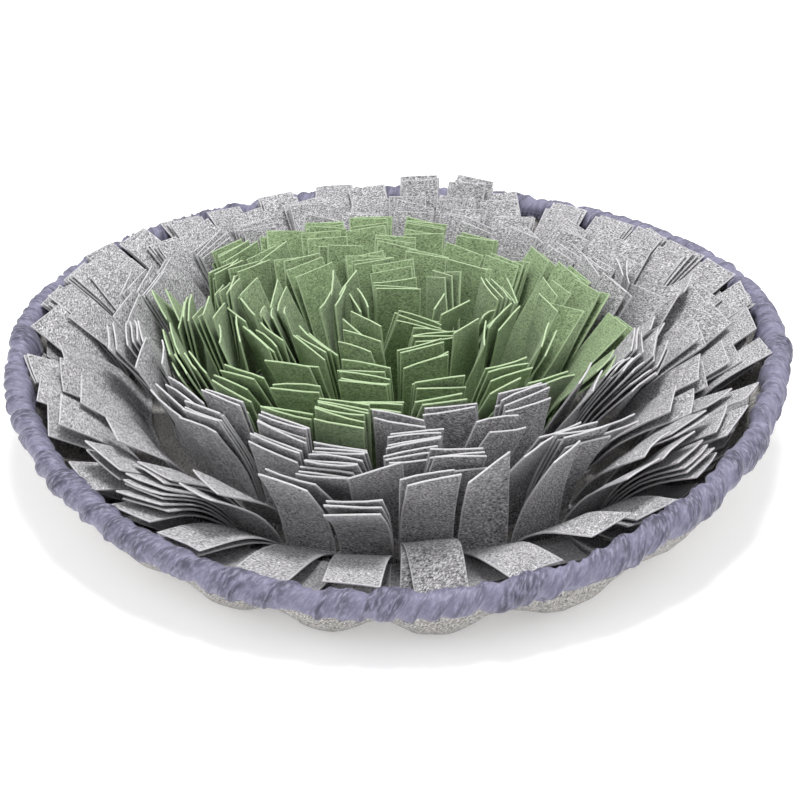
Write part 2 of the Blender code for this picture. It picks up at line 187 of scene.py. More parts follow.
# Stretches of a ring, in degrees round it, where flaps have sunk outwards, turned and tilted along the ring
Sag = namedtuple("Sag", "ring angle spread lean yaw tilt")
SAGS = (
    Sag("grey_front", -121, 15, 28, 0, 0),
    Sag("grey_front", -72, 13, -14, 8, 0),
    Sag("grey_2", -119, 14, 26, 0, 0),
    Sag("grey_1", -112, 14, 10, 0, 0),
    Sag("grey_3", -160, 20, -18, -30, 16),
    Sag("grey_front", -150, 22, 0, -40, 20),
    Sag("grey_2", -152, 24, 8, -38, 18),
    Sag("grey_1", -154, 20, 4, -22, 8),
    Sag("grey_front", -36, 22, 8, 34, -18),
    Sag("grey_2", -38, 20, 14, 26, -12),
    Sag("grey_1", -36, 20, 14, 16, -6),
    Sag("grey_inner", -48, 18, 8, 0, 0),
    Sag("green_6", -128, 16, 18, 0, 0),
)

# Further plies that lie along the flaps of the part: how many get one, their gaps, and how they lie in
# degrees; those whose mates lie down are fanned
MORE_ROUNDS = 3
MORE_SHARE = {"grey": 0.9, "green": 0.6}
MORE_TRIES = 8
MORE_GAP = 0.35 * MM
MORE_GAPS = (1, 3)
MORE_LEAN = (0.3, 3.5)
MORE_AT_ROOT = 0.6
MORE_JITTER = 2
MORE_FAN = 18
LYING = (60, 85)
MORE_LENGTH = (0.93, 1.02)

# Flaps that have dropped flat between two of their ring: how far out they start, how long they show and how
# far they turn. One without room is lifted, moved out and cut short, way by way.
Fill = namedtuple("Fill", "ring shift away length yaw")
FILLS = (
    Fill("grey_front", 0, 9 * MM, 52 * MM, 4),
    Fill("grey_front", 0.5, 11 * MM, 50 * MM, 7),
    Fill("grey_front", 0.25, 13 * MM, 47 * MM, 9),
    Fill("grey_front", 0.75, 12 * MM, 48 * MM, 9),
    Fill("grey_3", 0, 9 * MM, 50 * MM, 4),
    Fill("grey_3", 0.5, 12 * MM, 47 * MM, 8),
    Fill("grey_2", 0, 7 * MM, 60 * MM, 8),
)
LYING_LEAN = 92
LYING_BENDS = 3
LYING_TRIES = 32
LYING_LIFT = 1.8 * MM
LYING_WAYS = ((0, 0), (12 * MM, 12 * MM), (0, 14 * MM), (12 * MM, 24 * MM))

# The fine flaps: rows along them, columns in shares of half the width, and how they cup, wander and are cut
FINE_ROWS = 9
FINE_COLUMNS = (-1, -0.94, -0.4, 0.4, 0.94, 1)
FINE_THICKNESS = 1.05 * MM
CUP = 0.7 * MM
SIDE_WANDER = 0.35 * MM
SIDE_WAVES = (3, 7)
TIP_SKEW = 2.2 * MM
EDGE_ROUND = 0.25 * MM
FACE_WANDER = 0.5 * MM
FACE_WAVES = 3
NOISE_REACH = 50
NOISE_APART = 9
TIP_THICKNESS = 0.35
SHARP = math.radians(50)

# The fine base: small creases at the sewn edge, broad buckles below it, each from and to a share of the wall
BASE_STEPS_AROUND = 624
WALL_STEPS = 34
FLAT_STEPS = 6
CREASE_DEPTH = 1.1 * MM
CREASE_LENGTH = 11 * MM
CREASES_RISE = (0.55, 1)
BUCKLE_DEPTH = 2.2 * MM
BUCKLE_LENGTH = 60 * MM
BUCKLES_RISE = (0.1, 0.6)
BUCKLES_FALL = (0.8, 1)
UPPER_LAYER = 3.0

# Half the step over which a slope is measured, in shares of the wall or of half the band
NEAR = 0.02

# The fine band: its section from the crown to a lip, its gathers, and the strip it is sewn from
BAND_STEPS_AROUND = 1560
BAND_STEPS_ACROSS = 22
BAND_CLOTH = 0.9 * MM
BAND_RADIUS = 265 * MM
BAND_REACH = 25 * MM
CROWN_ANGLE = math.radians(118)
CROWN_HEIGHT = 8.6 * MM
CROWN_HALF = 7.4 * MM
CROWN_END = 0.62
LIP_START = 0.72
LIP_HALF = 3.4 * MM
LIP_DEPTH = 10.5 * MM
SLANT = 0.03
SLANT_WAVES = 5
FOLD_LENGTH = 14 * MM
FOLD_DEPTH = 2.0 * MM
FOLD_DRIFT = 0.3
PUCKER_LENGTH = 6.5 * MM
PUCKER_DEPTH = 1.1 * MM
PUCKER_DRIFT = 0.8
PUCKER_APART = 7
BILLOW_STEEP = 3
BILLOW_DROP = 0.4
LIP_CALM = 6
SWELL_LENGTH = 45 * MM
SWELL_DEPTH = 1.5 * MM
SWELL_APART = 3
CROWN_SHARE = 0.6
LIP_SCALLOP = 4.0 * MM

# Heights of the gathers at which their cloth goes from the painted shade of the valleys to the tops' own
# colour, and the row of stitches
SHADED_TO_LIT_HEIGHTS = (-1.2 * MM, 2.0 * MM)
STITCH_LINE = 0.9
STITCH_THICKNESS = 0.45 * MM
STITCH_PITCH = 3.6 * MM
STITCH_SHARE = 0.6
BAND_SHARP = math.radians(80)

# Felt fibres: how long and how thick, two lays of them, where the noise makes dark and light ones, and
# patches of a deeper tone
FIBRE = (2.2 * MM, 0.75 * MM, 1)
FibreLay = namedtuple("FibreLay", "turn scale")
FIBRE_LAYS = (FibreLay(0.15, 1), FibreLay(-0.6, 1.3))
FIBRE_GRAIN = (3, 0.7)
FIBRE_RELIEF = 0.5 * MM
FIBRE_STRENGTH = 0.8
DARK_FIBRES = (0.42, 0.51)
LIGHT_FIBRES = (0.51, 0.59)
PATCH = 8 * MM
PATCH_GRAIN = (2, 0.6)
PATCHES = (0.3, 0.7)
PATCH_SHADES = (0.86, 1.1)
# Share of the cut edges' colour, the last of each felt's colours below: partly the cut fibres' own paler
# look, partly painted highlight where the edges catch light
PALE_EDGE_AND_HIGHLIGHT_SHARE = 0.9
FELT_ROUGHNESS = 0.95
FELT_SHEEN = (0.12, 0.6)
Felt = namedtuple("Felt", "dark middle light cut")
FELTS = {
    "grey": Felt((0.045, 0.045, 0.05), (0.31, 0.305, 0.32), (0.80, 0.79, 0.81), (0.60, 0.595, 0.61)),
    "green": Felt((0.075, 0.115, 0.05), (0.235, 0.335, 0.165), (0.41, 0.535, 0.305), (0.45, 0.58, 0.35)),
    "pale": Felt((0.07, 0.065, 0.06), (0.33, 0.315, 0.30), (0.68, 0.66, 0.64), (0.60, 0.58, 0.56)),
}

# The casing's cloth: its own colour on the tops of its gathers, painted shade in their valleys, and painted
# highlights along creases drawn from noise
BAND_PAINTED_SHADE = (0.05, 0.048, 0.08)
BAND_TOP = (0.178, 0.171, 0.254)
# Painted highlights along creases drawn from noise, standing for light caught on the wrinkles: their colour,
# the noise's size, range, turn and grain
BAND_HIGHLIGHT_COLOUR = (0.26, 0.255, 0.355)
BAND_CREASE = (1.6 * MM, 7 * MM, 1)
CREASE_HIGHLIGHT_RANGE = (0.45, 0.70)
BAND_CREASE_TURN = 0.3
BAND_GRAIN = (3, 0.6)
BAND_ROUGHNESS = 0.6
BAND_SHEEN = (0.15, 0.4)
STITCH_COLOUR = (0.06, 0.055, 0.085)
WEAVE_SCALE = 500
WEAVE_RELIEF = 0.12 * MM
WEAVE_STRENGTH = 0.25

# Camera and light
PICTURE = 800
ELEVATION = math.radians(29)
DISTANCE = 0.85
FOCUS_PIXELS = 1303
SENSOR = 36
NEAREST = 0.01
AIM = Vector((-1.0 * MM, -47.1 * MM, 30 * MM))
Lamp = namedtuple("Lamp", "name place power size")
LAMPS = (
    Lamp("key", (0.05, 0.05, 1.5), 19, 0.45),
    Lamp("left", (-1.1, -0.6, 1.0), 6, 1.2),
    Lamp("right", (1.2, -0.3, 1.0), 4.5, 1.2),
)
LAMP_AIM = Vector((0, 0, 0.03))
SKY = 0.62
FLOOR_REACH = 6
FLOOR_COLOUR = (0.92, 0.92, 0.92, 1)
FLOOR_GLOW = 0.28
FLOOR_ROUGHNESS = 0.9


def mix(a, b, share):
    return a + (b - a) * share


def smooth(low, high, value):
    """0 below low, 1 above high, with soft ends."""
    share = min(max((value - low) / (high - low), 0), 1)
    return share * share * (3 - 2 * share)


def outwards_at(angle):
    return Vector((math.cos(angle), math.sin(angle), 0))


def along_at(angle):
    return Vector((-math.sin(angle), math.cos(angle), 0))


# ---------------------------------------------------------------- felt base

def rim_height(angle):
    return sum(wave.cosine * math.cos(wave.turns * angle) + wave.sine * math.sin(wave.turns * angle)
               for wave in RIM_WAVES)


def rim_reach(angle):
    return FLAT_RADIUS + math.sqrt(WALL_LENGTH ** 2 - (WALL_BOW * rim_height(angle)) ** 2)


def wave_at(wave, angle):
    return wave.size * math.sin(wave.turns * angle + wave.phase)


def ruffle_wave(angle):
    """Uneven ruffles, broad where they bulge outwards to 1 and narrow where they dip inwards."""
    phase = RUFFLES * angle + sum(wave_at(drift, angle) for drift in RUFFLE_DRIFTS)
    dip = ((1 - math.sin(phase)) / 2) ** RUFFLE_BREADTH
    return (1 - (1 + RUFFLE_DIP) * dip) * (1 - RUFFLE_SWELL.size + wave_at(RUFFLE_SWELL, angle))


def ruffle_depth(share):
    if share > RUFFLE_PEAK:
        fall = (share - RUFFLE_PEAK) / (1 - RUFFLE_PEAK)
        return RUFFLE_DEPTH * mix(1, RUFFLE_AT_EDGE, fall)
    return RUFFLE_DEPTH * smooth(RUFFLE_START, RUFFLE_PEAK, share)


def smooth_wall(angle, share):
    """Radius and height of the wall's underside before it is ruffled, from share 0 at the flat to 1."""
    front = max(math.cos(angle - FRONT_ANGLE), 0) ** FRONT_SPREAD
    curl = mix(SIDE_CURL, FRONT_CURL, front)
    slow = share ** mix(SIDE_POWER, FRONT_POWER, front)
    radius = mix(FLAT_RADIUS, rim_reach(angle), share)
    return Vector((radius, rim_height(angle) * mix(slow, share ** CURL_POWER, curl)))


def ruffled_wall(angle, share):
    """Radius and height of the wall's underside with its ruffles, which never reach into the floor."""
    smooth_place = smooth_wall(angle, share)
    place = smooth_place + RUFFLE_WAY * ruffle_depth(share) * ruffle_wave(angle)
    place.y = max(place.y, RUFFLE_LOWEST * smooth_place.y)
    return place


def around(angle, point):
    """A radius and height turned to its place round the felt's centre."""
    return Vector((point.x * math.cos(angle), point.x * math.sin(angle), point.y))


def base_felt():
    """The underside as an open surface, grown outwards ring by ring, then made thick upwards."""
    bm = bmesh.new()
    bmesh.ops.create_circle(bm, cap_ends=True, segments=AROUND, radius=FLAT_RADIUS)
    for share in WALL_ROWS:
        boundary = [e for e in bm.edges if e.is_boundary]
        grown = bmesh.ops.extrude_edge_only(bm, edges=boundary)["geom"]
        for vert in [g for g in grown if isinstance(g, bmesh.types.BMVert)]:
            angle = math.atan2(vert.co.y, vert.co.x)
            vert.co = around(angle, ruffled_wall(angle, share))
    bmesh.ops.recalc_face_normals(bm, faces=bm.faces)
    if max(bm.faces, key=lambda f: f.calc_area()).normal.z < 0:
        bmesh.ops.reverse_faces(bm, faces=bm.faces)
    return bm


def thicken(thing, thickness):
    solid = thing.modifiers.new("Felt thickness", "SOLIDIFY")
    solid.thickness = thickness
    solid.offset = 1
    solid.use_even_offset = True


# ---------------------------------------------------------------- rim band

def rim_section(angle):
    """Middle of the felt's edge, the way up along the cloth and the way through it, as radius and height."""
    edge = ruffled_wall(angle, 1)
    along = (edge - ruffled_wall(angle, WALL_ROWS[-2])).normalized()
    across = Vector((-along.y, along.x))
    return edge + across * BASE_THICKNESS / 2, along, across


def rim_band():
    """The casing lofted round the rim; its section goes up one side of the felt and down the other."""
    outline = list(BAND_SECTION)
    outline += [BandPoint(point.along, -point.half_width) for point in reversed(BAND_SECTION[:-1])]
    bm = bmesh.new()
    rows = []
    for i in range(AROUND):
        angle = 2 * math.pi * i / AROUND
        middle, along, across = rim_section(angle)
        rows.append([bm.verts.new(around(angle, middle + along * a + across * b)) for a, b in outline])
    for row, after in zip(rows, rows[1:] + rows[:1]):
        for j, vert in enumerate(row):
            k = (j + 1) % len(row)
            bm.faces.new((vert, after[j], after[k], row[k]))
    bmesh.ops.recalc_face_normals(bm, faces=bm.faces)
    return bm


# ---------------------------------------------------------------- rings of flaps

Section = namedtuple("Section", "middle width through")


class Ground:
    """The felt base's upper face, read from its solid."""

    def __init__(self, thing):
        self.tree = BVHTree.FromObject(thing, bpy.context.evaluated_depsgraph_get())

    def point(self, place):
        return self.tree.ray_cast(Vector((place.x, place.y, OVERHEAD)), Vector((0, 0, -1)))[0]

    def height(self, place):
        found = self.point(place)
        return found.z if found else 0


def unit_angle(ring, units):
    """Angle after so many of the ring's units."""
    return math.radians(ring.turn) + 2 * math.pi * units / ring.units


def ring_corner(ring, ground, corner):
    """Frame of a strip's corner: a point on the base, the way outwards and the way up."""
    angle = unit_angle(ring, corner)
    outwards = outwards_at(angle)
    middle = RING_CENTRE + outwards * ring.radius * MM / math.cos(math.pi / ring.units)
    low = ground.point(middle - outwards * STRIP_HALF)
    high = ground.point(middle + outwards * STRIP_HALF)
    slope = (high - low).normalized()
    up = slope.cross(along_at(angle)).normalized()
    return [(low + high) / 2 + up * STRIP_LIFT, slope / math.cos(math.pi / ring.units), up]


def strip_point(here, after, share, across, height):
    """A point of the strip between two corners."""
    start, end = (middle + outwards * across + up * height for middle, outwards, up in (here, after))
    return start.lerp(end, share)


def seat_strip(frames, ground):
    """Lifts the corners beside each place where the base would come through the strip."""
    lifts = [0] * len(frames)
    for i in range(len(frames) - 1):
        for share in STRIP_CHECKS:
            for across in (-STRIP_HALF, 0, STRIP_HALF):
                low = strip_point(frames[i], frames[i + 1], share, across, 0)
                short = STRIP_LIFT - (low.z - ground.height(low))
                lifts[i] = max(lifts[i], short)
                lifts[i + 1] = max(lifts[i + 1], short)
    if (frames[0][0] - frames[-1][0]).length < STRIP_LIFT:
        lifts[0] = lifts[-1] = max(lifts[0], lifts[-1])
    for frame, lift in zip(frames, lifts):
        frame[0] = frame[0] + Vector((0, 0, lift))


def ply_places(ring):
    return (0,) if ring.plies == 1 else (-PLY_OFFSET, PLY_OFFSET)


def strip_columns(ring):
    """Places across the strip: its two edges and both faces of each ply."""
    places = [-STRIP_HALF]
    for middle in ply_places(ring):
        places += [middle - FLAP_THICKNESS / 2, middle + FLAP_THICKNESS / 2]
    return places + [STRIP_HALF]


def strip_ring(ring, ground):
    """The backing strip, and the cells of its upper face that the flaps grow from."""
    bm = bmesh.new()
    columns = strip_columns(ring)
    length = 2 * ring.radius * MM * math.tan(math.pi / ring.units)
    margin = (1 - FLAP_WIDTH / length) / 2
    frames = [ring_corner(ring, ground, corner) for corner in range(ring.first, ring.last + 1)]
    seat_strip(frames, ground)
    rows = []
    for here, after in zip(frames, frames[1:]):
        rows += [strip_row(bm, here, after, margin, columns), strip_row(bm, here, after, 1 - margin, columns)]
    closed = ring.last - ring.first == ring.units
    if not closed:
        bm.faces.new(rows[0])
        bm.faces.new(rows[-1])
    cells = []
    for index, row in enumerate(rows if closed else rows[:-1]):
        after = rows[(index + 1) % len(rows)]
        for j, vert in enumerate(row):
            k = (j + 1) % len(row)
            face = bm.faces.new((vert, after[j], after[k], row[k]))
            if index % 2 == 0 and j % 2 == 1 and j < len(columns) - 1:
                cells.append((index // 2, j // 2, face))
    bmesh.ops.recalc_face_normals(bm, faces=bm.faces)
    return bm, cells


def strip_row(bm, here, after, share, columns):
    """One section of the strip: across its top, then back along its underside."""
    top = [strip_point(here, after, share, across, STRIP_HEIGHT) for across in columns]
    low = [strip_point(here, after, share, across, 0) for across in (columns[-1], columns[0])]
    return [bm.verts.new(place) for place in top + low]


def ring_lean(ring, angle):
    """Lean of a ring's flaps from upright, blended between its four sides."""
    east, north = math.cos(angle), math.sin(angle)
    side = ring.right if east > 0 else ring.left
    end = ring.back if north > 0 else ring.front
    return side * east * east + end * north * north


Sinking = namedtuple("Sinking", "lean yaw tilt")


def sinking(ring, angle):
    """How far a ring's flaps have sunk and turned at this angle, in degrees."""
    lean = yaw = tilt = 0
    for sag in SAGS:
        away = math.degrees(math.remainder(angle - math.radians(sag.angle), 2 * math.pi)) / sag.spread
        share = math.exp(-away * away) if sag.ring == ring.name else 0
        lean += sag.lean * share
        yaw += sag.yaw * share
        tilt += sag.tilt * share
    return Sinking(lean, yaw, tilt)


Pose = namedtuple("Pose", "start lean yaw tilt length")


def flap_pose(ring, unit, ply, angle, chance, ease):
    """A flap's leans, turn and tilt in degrees; ease goes from 0 to 1 as it gives way to its neighbours."""
    calm = 1 - ease
    length = FLAP_LENGTH * chance.uniform(*LENGTH_RANGE)
    for special in SPECIALS:
        if (special.ring, special.unit, special.ply) == (ring.name, unit, ply):
            return Pose(*(value * calm for value in special[3:]), length)
    drift = sum(size * math.sin(turns * angle + ring.radius) for turns, size in YAW_DRIFTS)
    spread = PLY_SPREAD if ply else -PLY_SPREAD
    strip = random.Random(f"{ring.name} {unit}")
    sunk = sinking(ring, angle)
    lean = ring_lean(ring, angle) + sunk.lean + strip.gauss(0, LEAN_JITTER)
    lean += ring.fall * ply * max(-math.sin(angle), 0) ** FALL_POWER + spread + chance.gauss(0, PLY_JITTER)
    lean *= 1 - GIVE_WAY * ease
    start = lean * mix(*ROOT_LEAN, smooth(*ROOT_LEAN_RANGE, lean))
    yaw = sunk.yaw + YAW_DRIFT * drift + strip.gauss(0, YAW_JITTER) + chance.gauss(0, PLY_JITTER)
    tilt = sunk.tilt + strip.gauss(0, TILT_JITTER) + chance.gauss(0, PLY_JITTER)
    return Pose(start, TIP_LEAN * lean, yaw * calm, tilt * calm, length)


def flap_path(root, pose, ground, lift=0):
    """Sections up the flap, a share of its length each: middle, half its width and half its thickness."""
    path = [root]
    outwards, along = root.through.normalized(), root.width.normalized()
    middle = root.middle.copy()
    step = pose.length / PATH_STEPS
    need = FLAP_THICKNESS / 2 + CLEARANCE + lift
    for i in range(1, PATH_STEPS + 1):
        share = (i - 0.5) / PATH_STEPS
        lean = math.radians(mix(pose.start, pose.lean, share ** BEND_POWER))
        tilt = math.radians(pose.tilt) * share
        turn = Matrix.Rotation(math.radians(pose.yaw) * share, 3, "Z")
        climb = turn @ outwards * math.sin(lean) + Vector((0, 0, math.cos(lean)))
        rise = climb * math.cos(tilt) + turn @ along * math.sin(tilt)
        width = turn @ along * math.cos(tilt) - climb * math.sin(tilt)
        middle = middle + rise * step
        for side in (-0.5, 0, 0.5):
            reach = width * side * FLAP_WIDTH
            middle.z = max(middle.z, ground.height(middle + reach) + need - reach.z)
        path.append(Section(middle.copy(), width * FLAP_WIDTH / 2, width.cross(rise) * FLAP_THICKNESS / 2))
    return path


def flap_section(path, share):
    """The flap's section at a share of its length."""
    place = share * PATH_STEPS
    low = min(int(place), PATH_STEPS - 1)
    before, after = path[low], path[low + 1]
    return Section(*(a.lerp(b, place - low) for a, b in zip(before, after)))


def corners(section, extra=0):
    width = section.width.normalized() * (section.width.length + extra)
    through = section.through.normalized() * (section.through.length + extra)
    return [section.middle + width * a + through * b for a, b in SQUARE]


def hull_of(sections, extra=0):
    """A tree of the flap's faces, to test against its neighbours, with sides split along both diagonals."""
    points = [corner for section in sections for corner in corners(section, extra)]
    last = len(points) - 4
    faces = [(0, 1, 2), (0, 2, 3), (last, last + 1, last + 2), (last, last + 2, last + 3)]
    for start in range(0, last, 4):
        for j in range(4):
            k = (j + 1) % 4
            a, b, c, d = start + j, start + k, start + 4 + k, start + 4 + j
            faces += [(a, b, c), (a, c, d), (a, b, d), (b, c, d)]
    return BVHTree.FromPolygons(points, faces)


def cell_section(cell, angle):
    """The root's section, from the strip's cell."""
    width, through = along_at(angle) * FLAP_WIDTH / 2, outwards_at(angle) * FLAP_THICKNESS / 2
    return Section(cell.calc_center_median(), width, through)


def bends_along(path, ring):
    """The flap's sections at its bends."""
    return [flap_section(path, share) for share in BENDS[ring.bends]]


Flap = namedtuple("Flap", "ring unit ply root bends pose")
Hull = namedtuple("Hull", "tree middle reach")


def hull_with_reach(sections, extra=0):
    """The flap's faces with a ball round them, so that far ones are passed over quickly."""
    low = Vector(min(s.middle[i] for s in sections) for i in range(3))
    high = Vector(max(s.middle[i] for s in sections) for i in range(3))
    return Hull(hull_of(sections, extra), (low + high) / 2, (high - low).length / 2 + FLAP_WIDTH)


def thin(section):
    """The section at the fine flaps' thickness."""
    return section._replace(through=section.through.normalized() * FINE_THICKNESS / 2)


def meets(hull, other):
    return (hull.middle - other.middle).length < hull.reach + other.reach and hull.tree.overlap(other.tree)


def touches(hull, fixed, standing):
    return any(hull.tree.overlap(tree) for tree in fixed) or any(meets(hull, other) for other in standing)


def place_flaps(ring, cells, ground, fixed, standing):
    """The part's own flaps of one ring."""
    flaps = []
    for unit, ply, cell in sorted(cells, key=lambda c: (c[0], -c[1])):
        angle = unit_angle(ring, ring.first + unit + 0.5)
        root = cell_section(cell, angle)
        chance = random.Random(f"{ring.name} {unit} {ply}")
        for attempt in range(MOST_TRIES):
            pose = flap_pose(ring, unit, ply, angle, chance, attempt / MOST_TRIES)
            path = flap_path(root, pose, ground)
            bends = bends_along(path, ring)
            hull = hull_with_reach([root] + bends, CLEARANCE / 2)
            if not touches(hull, fixed, standing):
                standing.append(hull_with_reach([root] + bends))
                flaps.append(Flap(ring, unit, ply, root, bends, pose))
                break
    return flaps


def has_room(sections, fixed, standing):
    """Whether a fine flap stays clear of all the rest, and if so it takes its place among them."""
    slim = [thin(section) for section in sections]
    if touches(hull_with_reach(slim, MORE_GAP / 2), fixed, standing):
        return False
    standing.append(hull_with_reach(slim))
    return True


def lay_along(mate, side, chance, ground, fixed, standing):
    """One more ply close along its mate, on the outer side or the inner, or None where there is no room."""
    outwards = mate.root.through.normalized()
    shift = outwards * side * (FINE_THICKNESS + chance.uniform(*MORE_GAPS) * MORE_GAP)
    root = Section(mate.root.middle + shift, mate.root.width, mate.root.through)
    for attempt in range(MORE_TRIES):
        more = side * chance.uniform(*MORE_LEAN) * (1 - attempt / MORE_TRIES)
        fan = MORE_FAN * smooth(*LYING, mate.pose.lean) * chance.choice((-1, 1))
        yaw = mate.pose.yaw + fan + chance.gauss(0, MORE_JITTER)
        tilt = mate.pose.tilt + chance.gauss(0, MORE_JITTER)
        length = FLAP_LENGTH * chance.uniform(*MORE_LENGTH)
        pose = Pose(mate.pose.start + MORE_AT_ROOT * more, mate.pose.lean + more, yaw, tilt, length)
        path = flap_path(root, pose, ground)
        bends = bends_along(path, mate.ring)
        if has_room([root] + bends, fixed, standing):
            return Flap(mate.ring, mate.unit, mate.ply, root, bends, pose)
    return None


def more_plies(flaps, ground, fixed, standing):
    """Further plies on both sides of the part's own, then outside those."""
    added = []
    latest = [(flap, side) for flap in flaps for side in (1, -1)]
    for turn in range(MORE_ROUNDS):
        grown = []
        for flap, side in latest:
            chance = random.Random(f"more {flap.ring.name} {flap.unit} {flap.ply} {side} {turn}")
            if chance.random() > MORE_SHARE[flap.ring.felt]:
                continue
            ply = lay_along(flap, side, chance, ground, fixed, standing)
            if ply:
                grown.append((ply, side))
        added += [flap for flap, _ in grown]
        latest = grown
    return added


def lying_flap(ring, angle, fill, chance, ground, fixed, standing):
    """A flap that lies on the base between two of its ring's, on top of what lies there, or None."""
    ring = ring._replace(bends=LYING_BENDS)
    outwards, along = outwards_at(angle), along_at(angle)
    yaw = chance.gauss(0, fill.yaw)
    full = Pose(LYING_LEAN, LYING_LEAN, yaw, 0, fill.length * chance.uniform(*MORE_LENGTH))
    for attempt in range(LYING_TRIES):
        lift = attempt // len(LYING_WAYS) * LYING_LIFT
        further, shorter = LYING_WAYS[attempt % len(LYING_WAYS)]
        flat = full._replace(length=full.length - shorter)
        foot = RING_CENTRE + outwards * (ring.radius * MM + fill.away + further)
        middle = Vector((foot.x, foot.y, ground.height(foot) + FLAP_THICKNESS / 2 + CLEARANCE + lift))
        root = Section(middle, along * FLAP_WIDTH / 2, along.cross(outwards) * FLAP_THICKNESS / 2)
        path = flap_path(root._replace(through=outwards * FLAP_THICKNESS / 2), flat, ground, lift)
        bends = bends_along(path, ring)
        if has_room([root] + bends, fixed, standing):
            return Flap(ring, 0, 0, root, bends, flat)
    return None


def lying_flaps(ground, fixed, standing):
    """Flaps that have dropped flat between the others, beside the rim band."""
    added = []
    for fill in FILLS:
        ring = next(r for r in RINGS if r.name == fill.ring)
        for unit in range(1, ring.last - ring.first):
            chance = random.Random(f"lying {ring.name} {unit} {fill.away:.4f}")
            angle = unit_angle(ring, ring.first + unit + fill.shift)
            flap = lying_flap(ring, angle, fill, chance, ground, fixed, standing)
            if flap:
                added.append(flap)
    return added


# ---------------------------------------------------------------- meshes with a place on their cloth

class Cloth:
    """A mesh in the making. Every point has its place on the flat cloth and its share of the edge colour: on
    the felt the paler cut edge, partly painted highlight, and on the band the tops of the gathers against
    their painted shade.
    """

    def __init__(self):
        self.points, self.places, self.cuts, self.faces = [], [], [], []

    def point(self, where, place, cut=0.0):
        self.points.append(where)
        self.places.append(place)
        self.cuts.append(cut)
        return len(self.points) - 1

    def join(self, row, after):
        """Faces between two closed rows of points."""
        for j in range(len(row)):
            k = (j + 1) % len(row)
            self.faces.append((row[j], row[k], after[k], after[j]))

    def object(self, name, material, sharp=SHARP):
        mesh = bpy.data.meshes.new(name)
        mesh.from_pydata(self.points, [], self.faces)
        places = mesh.attributes.new("cloth", "FLOAT_VECTOR", "POINT")
        places.data.foreach_set("vector", [value for place in self.places for value in place])
        mesh.attributes.new("cut", "FLOAT", "POINT").data.foreach_set("value", self.cuts)
        mesh.polygons.foreach_set("use_smooth", [True] * len(mesh.polygons))
        mesh.set_sharp_from_angle(angle=sharp)
        mesh.materials.append(material)
        mesh.update()
        thing = bpy.data.objects.new(name, mesh)
        bpy.context.scene.collection.objects.link(thing)
        thing.location = (*FELT_CENTRE, 0)
        return thing


def smooth_at(shares, values, share):
    """Value at a share of the way, on a smooth curve through the given ones."""
    last = len(shares) - 1
    i = max([k for k in range(last) if shares[k] <= share], default=0)

    def slope(k):
        low, high = max(k - 1, 0), min(k + 1, last)
        return (values[high] - values[low]) / (shares[high] - shares[low])

    gap = shares[i + 1] - shares[i]
    t = (share - shares[i]) / gap
    start, end = values[i], values[i + 1]
    bend = slope(i) * gap * (t ** 3 - 2 * t ** 2 + t) + slope(i + 1) * gap * (t ** 3 - t ** 2)
    return start * (2 * t ** 3 - 3 * t ** 2 + 1) + end * (3 * t ** 2 - 2 * t ** 3) + bend


def fine_flap(cloth, flap, number):
    """A cut felt strip with rounded edges, a slight cup and edges that wander as scissors leave them."""
    chance = random.Random(f"fine {flap.ring.name} {number}")
    shares = (0, *BENDS[flap.ring.bends])
    sections = [flap.root] + flap.bends
    cup = chance.gauss(0, CUP)
    skew = chance.uniform(-TIP_SKEW, TIP_SKEW)
    seed = chance.uniform(0, NOISE_REACH)
    tip = 1 - EDGE_ROUND / FLAP_LENGTH
    rows = [i * tip / (FINE_ROWS - 1) for i in range(FINE_ROWS - 1)]
    rows += [tip - 2 * EDGE_ROUND / FLAP_LENGTH, tip, 1]
    loops = []
    for share in sorted(rows):
        middle, width, through = (smooth_at(shares, [s[i] for s in sections], share) for i in range(3))
        across, normal = width.normalized(), through.normalized()
        rise = normal.cross(across)
        thick = FINE_THICKNESS / 2 * (TIP_THICKNESS if share == 1 else 1)
        loop = []
        for face in (1, -1):
            for u in FINE_COLUMNS[::face]:
                wander = SIDE_WANDER * noise.noise(Vector((seed, u * SIDE_WAVES[0], share * SIDE_WAVES[1])))
                waves = FACE_WANDER * noise.noise(Vector((u, share * FACE_WAVES, seed + NOISE_APART)))
                lift = cup * share * (1 - u * u) + waves
                place = middle + width * u + across * wander * abs(u) + normal * (lift + thick * face)
                place = place - rise * skew * u * share
                # the sides and the tip take the paler edge colour, which is partly painted highlight
                edge = 1.0 if abs(u) == 1 or share >= tip else 0.0
                loop.append(cloth.point(place, (u * FLAP_WIDTH / 2, share * FLAP_LENGTH, seed), edge))
            side = across * face * EDGE_ROUND if share < 1 else across * 0
            place = middle + width * face + side - rise * skew * face * share
            loop.append(cloth.point(place, (face * FLAP_WIDTH / 2, share * FLAP_LENGTH, seed), 1.0))
        loops.append(loop)
    for row, after in zip(loops, loops[1:]):
        cloth.join(row, after)
    cloth.faces.append(tuple(loops[-1]))
    cloth.faces.append(tuple(reversed(loops[0])))


def fine_ring(name, flaps, strip, material):
    """One ring: its backing strip and all its flaps, in one mesh."""
    cloth = Cloth()
    for vert in strip.verts:
        cloth.point(vert.co.copy(), (vert.co.x, vert.co.y, 0))
    for face in strip.faces:
        cloth.faces.append(tuple(vert.index for vert in face.verts))
    for number, flap in enumerate(flaps):
        fine_flap(cloth, flap, number)
    return cloth.object(name, material)


# ---------------------------------------------------------------- the fine base and band

